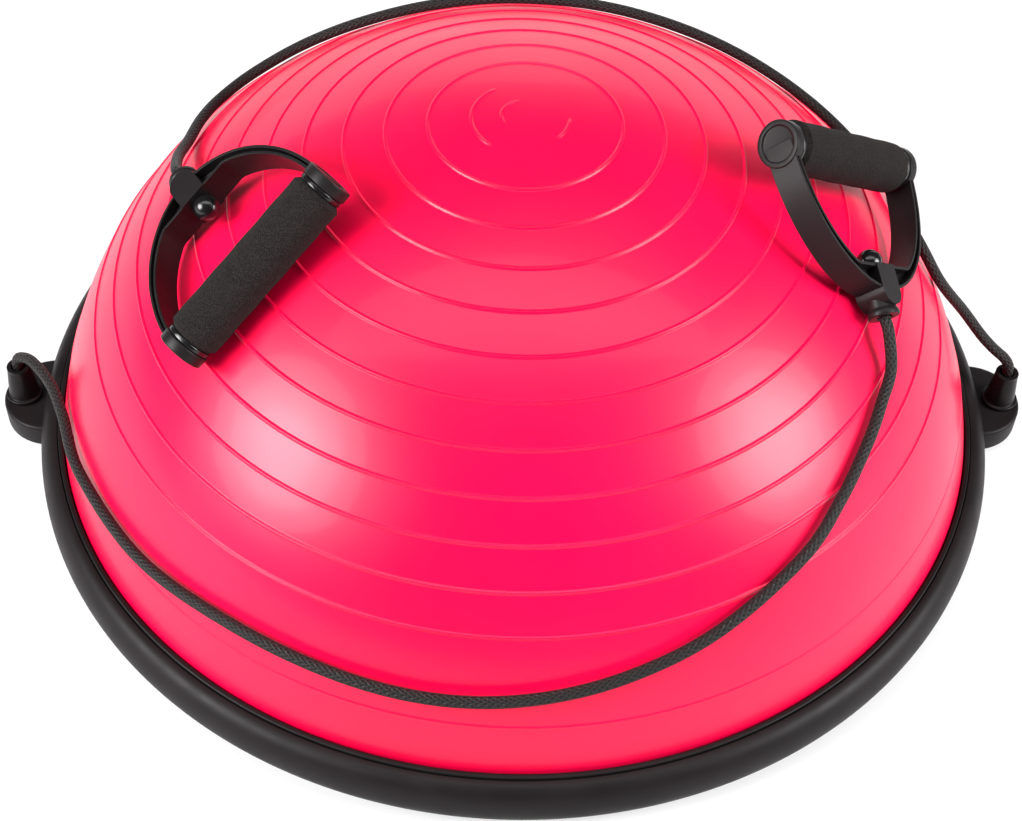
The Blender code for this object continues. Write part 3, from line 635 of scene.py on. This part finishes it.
def add_cord(side, ear, route, material):
    """One elastic cord: the long stretch on the dome, then the short tail that runs into the handle's collar.
    """
    place = handle_frame(side)
    mouth = place @ Vector((0, COLLAR_END_V + GAP, 0))
    ahead = place @ Vector((0, COLLAR_END_V + CORD_LEAD, 0))
    start = Vector((ear * CORD_OFFSET, 0, EAR_POCKET_TOP_Z))
    inside = Vector((ear * CORD_OFFSET, 0, SLEEVE_TOP_Z - SLEEVE_INSIDE))
    leaving = Vector((ear * CORD_OFFSET, 0, SLEEVE_TOP_Z + SLEEVE_OUTSIDE))
    whole = [start, inside, leaving] + [Vector(point) for point in route] + [ahead, mouth]
    fine, length = smooth_route(whole, CORD_DETAIL * (CORD_POINTS - 1) + 1)
    tail_count = CORD_DETAIL * round(CORD_TAIL / (length / (CORD_POINTS - 1)))
    body, tail = fine[:-tail_count], fine[-tail_count - 1:]
    main = cord_mesh(f"{side}_cord_braid", body)
    main.data.materials.append(material)
    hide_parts(f"{side}_cord")
    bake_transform(main)
    end = cord_mesh(f"{side}_cord_tail_braid", tail)
    end.data.materials.append(material)
    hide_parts(f"{side}_cord_tail")
    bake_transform(end)


# ---------------------------------------------------------------- dome and platform
def bump_profile(offset, width, height):
    """A soft ridge: height at the middle, nothing beyond half the width."""
    part = abs(offset) / (width / 2)
    return height * (1 - part * part) ** 2 if part < 1 else 0.0


def ridge_height(distance, azimuth):
    """How far the skin stands proud at a distance down from the crown."""
    height = bump_profile(distance - SEAM_DISTANCE, RIB_WIDTH, SEAM_HEIGHT)
    for i in range(RIB_COUNT):
        height += bump_profile(distance - RIB_FIRST - i * RIB_PITCH, RIB_WIDTH, RIB_HEIGHT)
    for radius, first, last in CROWN_ARCS:
        if first < azimuth < last:
            ends = min(azimuth - first, last - azimuth) * radius
            height += bump_profile(distance - radius, RIB_WIDTH, RIB_HEIGHT) * min(1.0, ends / ARC_FADE)
    return height


def dome_distances():
    """Rows down the skin: closer together where a ridge crosses."""
    ridges = [RIB_FIRST + i * RIB_PITCH for i in range(RIB_COUNT)] + [SEAM_DISTANCE]
    ridges += [radius for radius, first, last in CROWN_ARCS]
    rows = {ROW_STEP * i for i in range(1, int(SHOULDER_DISTANCE / ROW_STEP))}
    rows = {row for row in rows if all(abs(row - ridge) > RIB_WIDTH / 2 + ROW_CLEARANCE for ridge in ridges)}
    for ridge in ridges:
        rows |= {ridge + RIB_WIDTH * k / 12 for k in range(-7, 8)}
    return sorted(rows)


def build_dome(material):
    turns = [2 * math.pi * i / LARGE_SEGMENTS for i in range(LARGE_SEGMENTS)]
    build = bmesh.new()
    crown = build.verts.new((0, 0, dome_point(math.pi / 2)[1]))
    rings = []
    for distance in dome_distances():
        t = at_distance(distance)
        radius, height = dome_point(t)
        normal = dome_slope(t)
        ring = []
        for a in turns:
            proud = ridge_height(distance, a)
            r = radius + normal.x * proud
            ring.append(build.verts.new((r * math.cos(a), r * math.sin(a), height + normal.y * proud)))
        rings.append(ring)
    shoulder = dome_point(SHOULDER_T)[0]
    drop = DOME_SHOULDER_Z - DOME_LOW_Z
    for k in range(TUCK_STEPS + 1):
        part = k / TUCK_STEPS
        r = shoulder - DOME_TUCK * part**2 * (3 - 2 * part)
        z = DOME_SHOULDER_Z - drop * part
        rings.append([build.verts.new((r * math.cos(a), r * math.sin(a), z)) for a in turns])
    for low, high in zip(rings, rings[1:]):
        for i in range(LARGE_SEGMENTS):
            j = (i + 1) % LARGE_SEGMENTS
            build.faces.new((low[i], high[i], high[j], low[j]))
    for i in range(LARGE_SEGMENTS):
        build.faces.new((crown, rings[0][i], rings[0][(i + 1) % LARGE_SEGMENTS]))
    build.faces.new(reversed(rings[-1]))
    dome = add_mesh("dome_skin", build, sharp=80)
    finish_piece(dome, material, "base", "dome_bladder")


def around(count, radius, first=0.0):
    angles = [first + 2 * math.pi * i / count for i in range(count)]
    return [Vector((radius * math.cos(a), radius * math.sin(a), 0.0)) for a in angles]


def tray_outline():
    top_radius = TRAY_RADIUS - TRAY_WALL_RUN
    outline = [(0.0, TRAY_UNDERSIDE_Z)]
    for groove in (0.060, 0.120, 0.180, 0.255):
        outline += [
            (groove - 0.0030, TRAY_UNDERSIDE_Z),
            (groove - 0.0018, TRAY_UNDERSIDE_Z + 0.0010),
            (groove + 0.0018, TRAY_UNDERSIDE_Z + 0.0010),
            (groove + 0.0030, TRAY_UNDERSIDE_Z),
        ]
    for i in range(13):
        a = math.radians(90 * i / 12)
        radius = TRAY_RADIUS - TRAY_FOOT_INSET * (1 - math.sin(a))
        outline.append((radius, TRAY_WIDEST_Z - (TRAY_WIDEST_Z - TRAY_UNDERSIDE_Z) * math.cos(a)))
    for i in range(1, 25):
        a = math.radians(90 * i / 24)
        radius = top_radius + TRAY_WALL_RUN * math.cos(a)
        outline.append((radius, TRAY_WIDEST_Z + (TRAY_TOP_Z - TRAY_WIDEST_Z) * math.sin(a)))
    inner = top_radius - TRAY_LIP_WIDTH
    outline.append((inner + 0.0005, TRAY_TOP_Z))
    outline.append((inner, TRAY_TOP_Z - 0.0005))
    outline.append((inner, TRAY_DECK_Z))
    outline.append((0.0, TRAY_DECK_Z))
    return outline


def stepped(wide, narrow, low, step, high, segments):
    profile = [(0, low), (wide, low), (wide, step), (narrow, step), (narrow, high), (0, high)]
    return lathe(profile, segments)


def build_platform(material, edge):
    tray = add_mesh("tray_shell", lathe(tray_outline(), LARGE_SEGMENTS))
    ears = []
    cuts = []
    for ear in (-1, 1):
        outline = [
            (0.0, TRAY_UNDERSIDE_Z), (EAR_RADIUS, TRAY_UNDERSIDE_Z),
            (EAR_RADIUS, EAR_TOP_Z), (0.0, EAR_TOP_Z),
        ]
        solid = lathe(rounded(outline, EAR_EDGE), 96)
        ears.append(moved(solid, Matrix.Translation((ear * EAR_OFFSET, 0, 0))))
        hole = stepped(EAR_POCKET_RADIUS, EAR_HOLE_RADIUS, CUT_LOW_Z, EAR_POCKET_TOP_Z, 0.025, 41)
        cuts.append(moved(hole, Matrix.Translation((ear * CORD_OFFSET, 0, 0))))
    cut_away(tray, joined(ears), "UNION")
    recess = TRAY_UNDERSIDE_Z + FOOT_RECESS
    wide = FOOT_RADIUS + FOOT_CLEARANCE
    for spot in around(FOOT_COUNT, FOOT_CIRCLE, math.radians(30)):
        outline = [(0, CUT_LOW_Z), (wide, CUT_LOW_Z), (wide, recess), (0, recess)]
        cuts.append(moved(lathe(outline, 48), Matrix.Translation(spot)))
    for spot in around(SCREW_COUNT, SCREW_CIRCLE, math.radians(18)):
        hole = stepped(SCREW_HEAD_HOLE, SCREW_SHANK_HOLE, CUT_LOW_Z, SCREW_HEAD_TOP_Z, 0.013, 25)
        cuts.append(moved(hole, Matrix.Translation(spot)))
    cut_away(tray, joined(cuts))
    tray.data.shade_smooth()
    tray.data.set_sharp_from_angle(angle=math.radians(30))
    finish_piece(tray, material, "base", "base_tray")

    low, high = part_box("clamp_ring")[0].z, RING_TOP_Z
    inner = RING_OUTER - RING_WIDTH
    outline = [
        (RING_OUTER, low), (RING_OUTER, high), (inner, high), (inner, high - 0.0070),
        (RING_OUTER - 0.0098, low + 0.0020), (RING_OUTER - 0.0098, low),
    ]
    ring = add_mesh("lip_ring", lathe(rounded(outline, 0.0009), LARGE_SEGMENTS))
    finish_piece(ring, edge, "base", "clamp_ring")


def build_ear_fittings(rubber, gloss):
    low, high = EAR_TOP_Z + GAP, SLEEVE_TOP_Z
    outline = [
        (CORD_BORE_RADIUS, EAR_POCKET_TOP_Z + 0.0006), (SLEEVE_SPIGOT_RADIUS, EAR_POCKET_TOP_Z + 0.0006),
        (SLEEVE_SPIGOT_RADIUS, low), (SLEEVE_FLANGE_RADIUS, low), (SLEEVE_FLANGE_RADIUS, low + 0.0022),
        (0.0093, low + 0.0024), (0.0090, low + 0.0050), (0.0069, high - 0.0012), (0.0071, high),
        (CORD_BORE_RADIUS, high), (CORD_BORE_RADIUS, low + 0.0100),
    ]
    for name, ear in (("left", -1), ("right", 1)):
        place = Matrix.Translation((ear * CORD_OFFSET, 0, 0))
        sleeve = add_mesh(f"{name}_sleeve_boot", lathe(rounded(outline, 0.0006), 72), place)
        finish_piece(sleeve, rubber, "base", f"{name}_ear_sleeve")
        anchor = add_mesh(f"{name}_anchor_ball", lathe(ball_outline(ANCHOR_RADIUS, ANCHOR_Z), 40), place)
        finish_piece(anchor, gloss, "base", f"{name}_ear_anchor")


def build_valve(rubber, gloss):
    place = dome_frame(math.radians(90), at_distance(VALVE_DISTANCE), VALVE_LIFT)
    seat = [
        (VALVE_BORE_RADIUS, VALVE_NECK_LOW), (VALVE_NECK_RADIUS, VALVE_NECK_LOW), (VALVE_NECK_RADIUS, 0.0),
        (VALVE_FLANGE_RADIUS, 0.0), (0.0126, VALVE_FLANGE_TOP), (VALVE_BORE_RADIUS, VALVE_FLANGE_TOP),
    ]
    seat_item = add_mesh("valve_ring", lathe(rounded(seat, 0.0006), 64), place)
    finish_piece(seat_item, rubber, "base", "valve_seat")
    plug = [
        (0.0, -0.0100), (0.0030, -0.0100), (PLUG_SHANK_RADIUS, -0.0070), (PLUG_SHANK_RADIUS, PLUG_HEAD_LOW),
        (PLUG_HEAD_RADIUS, PLUG_HEAD_LOW), (PLUG_HEAD_RADIUS, PLUG_HEAD_HIGH), (0.0046, PLUG_HEAD_HIGH),
        (0.0040, 0.0034), (0.0, 0.0034),
    ]
    plug_item = add_mesh("valve_cap", lathe(rounded(plug, 0.0006), 64), place)
    finish_piece(plug_item, gloss, "plug", "valve_plug")


# ---------------------------------------------------------------- handles
def yoke_arm():
    """The band that bends from one end disc round the boss to the other, with a groove on each face."""
    build = bmesh.new()
    stations = 72
    loops = []
    for i in range(stations + 1):
        a = math.pi * i / stations
        outer = Vector((DISC_OUT * math.cos(a), YOKE_DEPTH * math.sin(a)))
        inner = Vector(((DISC_OUT - YOKE_BAND) * math.cos(a), min(YOKE_INNER_DEPTH * math.sin(a), SEAT_V)))
        across = (outer - inner).normalized() * YOKE_WALL
        outer_in = outer - across
        inner_out = inner + across
        high, web = YOKE_HALF_HEIGHT, YOKE_WEB_HALF
        section = [
            (outer, high), (outer_in, high), (outer_in, web), (inner_out, web), (inner_out, high),
            (inner, high), (inner, -high), (inner_out, -high), (inner_out, -web), (outer_in, -web),
            (outer_in, -high), (outer, -high),
        ]
        loops.append([build.verts.new((point.x, point.y, w)) for point, w in section])
    for near, far in zip(loops, loops[1:]):
        for k in range(len(near)):
            m = (k + 1) % len(near)
            build.faces.new((near[k], near[m], far[m], far[k]))
    build.faces.new(loops[0])
    build.faces.new(reversed(loops[-1]))
    return build


def boss_block():
    """The rounded block that the cord passes through, just proud of the arm's two faces."""
    half = YOKE_HALF_HEIGHT + 0.0005
    outline = [(BOSS_HALF_WIDTH, SEAT_V - 0.0002)]
    centre = BOSS_END_V - BOSS_HALF_WIDTH
    for i in range(25):
        a = math.pi * i / 24
        outline.append((BOSS_HALF_WIDTH * math.cos(a), centre + BOSS_HALF_WIDTH * math.sin(a)))
    outline.append((-BOSS_HALF_WIDTH, SEAT_V - 0.0002))
    build = bmesh.new()
    face = build.faces.new([build.verts.new((u, v, -half)) for u, v in outline])
    swept = bmesh.ops.extrude_face_region(build, geom=[face])
    top = [item for item in swept["geom"] if isinstance(item, bmesh.types.BMVert)]
    bmesh.ops.translate(build, vec=(0, 0, 2 * half), verts=top)
    return build


def soften(item, width):
    """Round the moulded edges and keep the large faces flat."""
    bevel = item.modifiers.new("edges", "BEVEL")
    bevel.width = width
    bevel.segments = 2
    bevel.limit_method = "ANGLE"
    bevel.angle_limit = math.radians(38)
    bevel.harden_normals = True


def build_handle(side, plastic, gloss, foam):
    place = handle_frame(side)
    body, grip = f"{side}_handle", f"{side}_grip"
    arm = add_mesh(f"{side}_yoke_arm", yoke_arm(), place)
    soften(arm, 0.0006)
    finish_piece(arm, plastic, body, f"{side}_yoke")

    boss = add_mesh(f"{side}_boss", boss_block(), place)
    seat = place @ Matrix.Translation((0, BALL_V, 0))
    bore = [(0, 0.05), (CORD_BORE_RADIUS, 0.05), (CORD_BORE_RADIUS, 0.10), (0, 0.10)]
    cut_away(boss, moved(along_y(lathe(bore, 48)), place))
    cut_away(boss, moved(lathe(ball_outline(BALL_RADIUS + GAP, 0.0), 48), seat))
    boss.data.shade_smooth()
    boss.data.set_sharp_from_angle(angle=math.radians(35))
    soften(boss, 0.0007)
    finish_piece(boss, plastic, body)

    flare = [
        (CORD_BORE_RADIUS, 0.080), (0.0076, 0.080), (0.0076, BOSS_END_V), (COLLAR_RADIUS, 0.0903),
        (COLLAR_RADIUS, COLLAR_END_V), (CORD_BORE_RADIUS, COLLAR_END_V),
    ]
    collar = add_mesh(f"{side}_collar", along_y(lathe(rounded(flare, 0.0007), 64)), place)
    finish_piece(collar, plastic, body)

    for number, end in ((1, 1), (2, -1)):
        outline = [
            (0.0, DISC_IN - DISC_SPIGOT_LENGTH), (DISC_SPIGOT_RADIUS, DISC_IN - DISC_SPIGOT_LENGTH),
            (DISC_SPIGOT_RADIUS, DISC_IN), (DISC_RADIUS, DISC_IN),
            (DISC_RADIUS, DISC_OUT + 0.0002), (DISC_RADIUS - 0.0028, DISC_OUT + 0.0003),
            (DISC_RADIUS - 0.0036, DISC_OUT - 0.0006), (0.0, DISC_OUT - 0.0006),
        ]
        turned = along_x(lathe(rounded(outline, 0.0009), 72))
        if end < 0:
            turned = moved(turned, Matrix.Rotation(math.pi, 4, "Z"))
        disc = add_mesh(f"{side}_end_disc_{number}", turned, place)
        finish_piece(disc, plastic, body)
        low, high = sorted((end * (FOAM_LENGTH / 2 + GAP), end * (DISC_IN - GAP)))
        outline = [
            (GRIP_RING_BORE_RADIUS, low), (GRIP_RING_RADIUS, low),
            (GRIP_RING_RADIUS, high), (GRIP_RING_BORE_RADIUS, high),
        ]
        ring = add_mesh(f"{side}_gloss_ring_{number}", along_x(lathe(rounded(outline, 0.0007), 72)), place)
        finish_piece(ring, gloss, grip, f"{side}_grip_ring_{number}")

    knob = add_mesh(f"{side}_knob", lathe(ball_outline(BALL_RADIUS, 0.0), 56), seat)
    finish_piece(knob, gloss, body, f"{side}_stop_ball")

    half = DISC_IN - GAP
    outline = [(TUBE_BORE_RADIUS, -half), (TUBE_RADIUS, -half), (TUBE_RADIUS, half), (TUBE_BORE_RADIUS, half)]
    tube = add_mesh(f"{side}_core_tube", along_x(lathe(rounded(outline, 0.0004), 64)), place)
    finish_piece(tube, plastic, grip, f"{side}_grip_tube")

    sleeve = add_mesh(f"{side}_foam_sleeve", along_x(lathe(foam_outline(), 96)), place)
    finish_piece(sleeve, foam, grip, f"{side}_foam_grip")


def foam_outline():
    """The foam swells a little between its ends, and its cut edges are soft."""
    half = FOAM_LENGTH / 2
    edge = FOAM_EDGE
    outline = [(TUBE_RADIUS + GAP, -half), (FOAM_RADIUS - edge, -half)]
    rows = 40
    for i in range(rows + 1):
        x = -half + FOAM_LENGTH * i / rows
        near_end = half - abs(x)
        if near_end < edge:
            drop = edge - math.sqrt(edge**2 - (edge - near_end) ** 2)
        else:
            drop = 0.0
        swell = 0.00012 * math.sin(9.0 * math.pi * (x / FOAM_LENGTH))
        outline.append((FOAM_RADIUS - drop + swell - 0.0001, x))
    outline += [(FOAM_RADIUS - edge, half), (TUBE_RADIUS + GAP, half)]
    return outline[:2] + outline[3:-3] + outline[-2:]


# ---------------------------------------------------------------- studio
def add_floor():
    """A pale sheet of paper that glows a little, so that it reads as white from edge to edge."""
    build = bmesh.new()
    bmesh.ops.create_grid(build, x_segments=4, y_segments=4, size=6.0)
    floor = add_mesh("studio_floor", build)
    made = Nodes("studio_paper", (0.40, 0.40, 0.403), 0.9)
    made.link(made.spread(made.noise(3.0), 0.3, 0.7, 0.86, 0.94), "Roughness")
    made.set(Emission_Color=(1.0, 1.0, 1.0, 1.0), Emission_Strength=0.56)
    floor.data.materials.append(made.material)


def add_softbox(name, azimuth, elevation, distance, width, height, radiance):
    """A soft oval light aimed at the dome. Azimuth 0 is the front and 90 the right."""
    data = bpy.data.lights.new(name, "AREA")
    data.shape = "ELLIPSE"
    data.size = width
    data.size_y = height
    data.energy = radiance * math.pi * math.pi / 4 * width * height
    item = bpy.data.objects.new(name, data)
    bpy.context.scene.collection.objects.link(item)
    a, e = math.radians(azimuth), math.radians(elevation)
    towards = Vector((math.sin(a) * math.cos(e), -math.cos(a) * math.cos(e), math.sin(e)))
    item.location = Vector((0, 0, 0.12)) + towards * distance
    item.rotation_mode = "QUATERNION"
    item.rotation_quaternion = towards.to_track_quat("Z", "Y")


def add_studio():
    bpy.context.scene.view_settings.view_transform = "Standard"
    world = bpy.data.worlds.new("studio")
    world.use_nodes = True
    world.node_tree.nodes["Background"].inputs["Color"].default_value = (1.0, 1.0, 1.0, 1.0)
    world.node_tree.nodes["Background"].inputs["Strength"].default_value = 0.04
    bpy.context.scene.world = world
    # each side light is three ovals of falling size, so that its highlight fades at the edge
    for step, share in enumerate((0.35, 0.35, 0.30)):
        size = 1.45 - 0.42 * step
        near = 2.0 - 0.04 * step
        add_softbox(f"left_{step + 1}", -66, 29, near, size, size * 0.95, 22.0 * share)
        add_softbox(f"right_{step + 1}", 72, 27, near, size * 0.85, size, 20.0 * share)
    add_softbox("overhead", 0, 86, 2.0, 3.4, 0.80, 3.2)
    add_softbox("backdrop", 180, 12, 2.6, 4.2, 1.3, 1.5)


# ---------------------------------------------------------------- the scene
def main():
    add_camera()
    braid = make_braid()
    add_cord("left", 1, LEFT_CORD, braid)
    add_cord("right", -1, RIGHT_CORD, braid)

    shell = make_satin("satin_black", (0.0085, 0.0066, 0.0072), 0.46, 1400.0)
    edge = make_satin("lip_black", (0.0075, 0.0060, 0.0064), 0.40, 1600.0)
    handle = make_satin("handle_black", (0.0110, 0.0092, 0.0097), 0.36, 1800.0)
    rubber = make_satin("boot_rubber", (0.0080, 0.0068, 0.0072), 0.30, 1200.0)
    sole = make_satin("foot_rubber", (0.018, 0.017, 0.017), 0.70, 900.0)
    gloss = make_gloss()
    foam = make_foam()
    steel = make_steel()

    build_dome(make_vinyl())
    build_platform(shell, edge)
    build_ear_fittings(rubber, gloss)
    build_valve(rubber, gloss)
    for side in HANDLES:
        build_handle(side, handle, gloss, foam)
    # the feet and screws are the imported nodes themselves, so they only need materials
    for name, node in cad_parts.items():
        if name.startswith("foot_"):
            node.data.materials.clear()
            node.data.materials.append(sole)
        if name.startswith("base_screw_"):
            node.data.materials.clear()
            node.data.materials.append(steel)
    add_floor()
    add_studio()

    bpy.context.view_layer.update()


main()
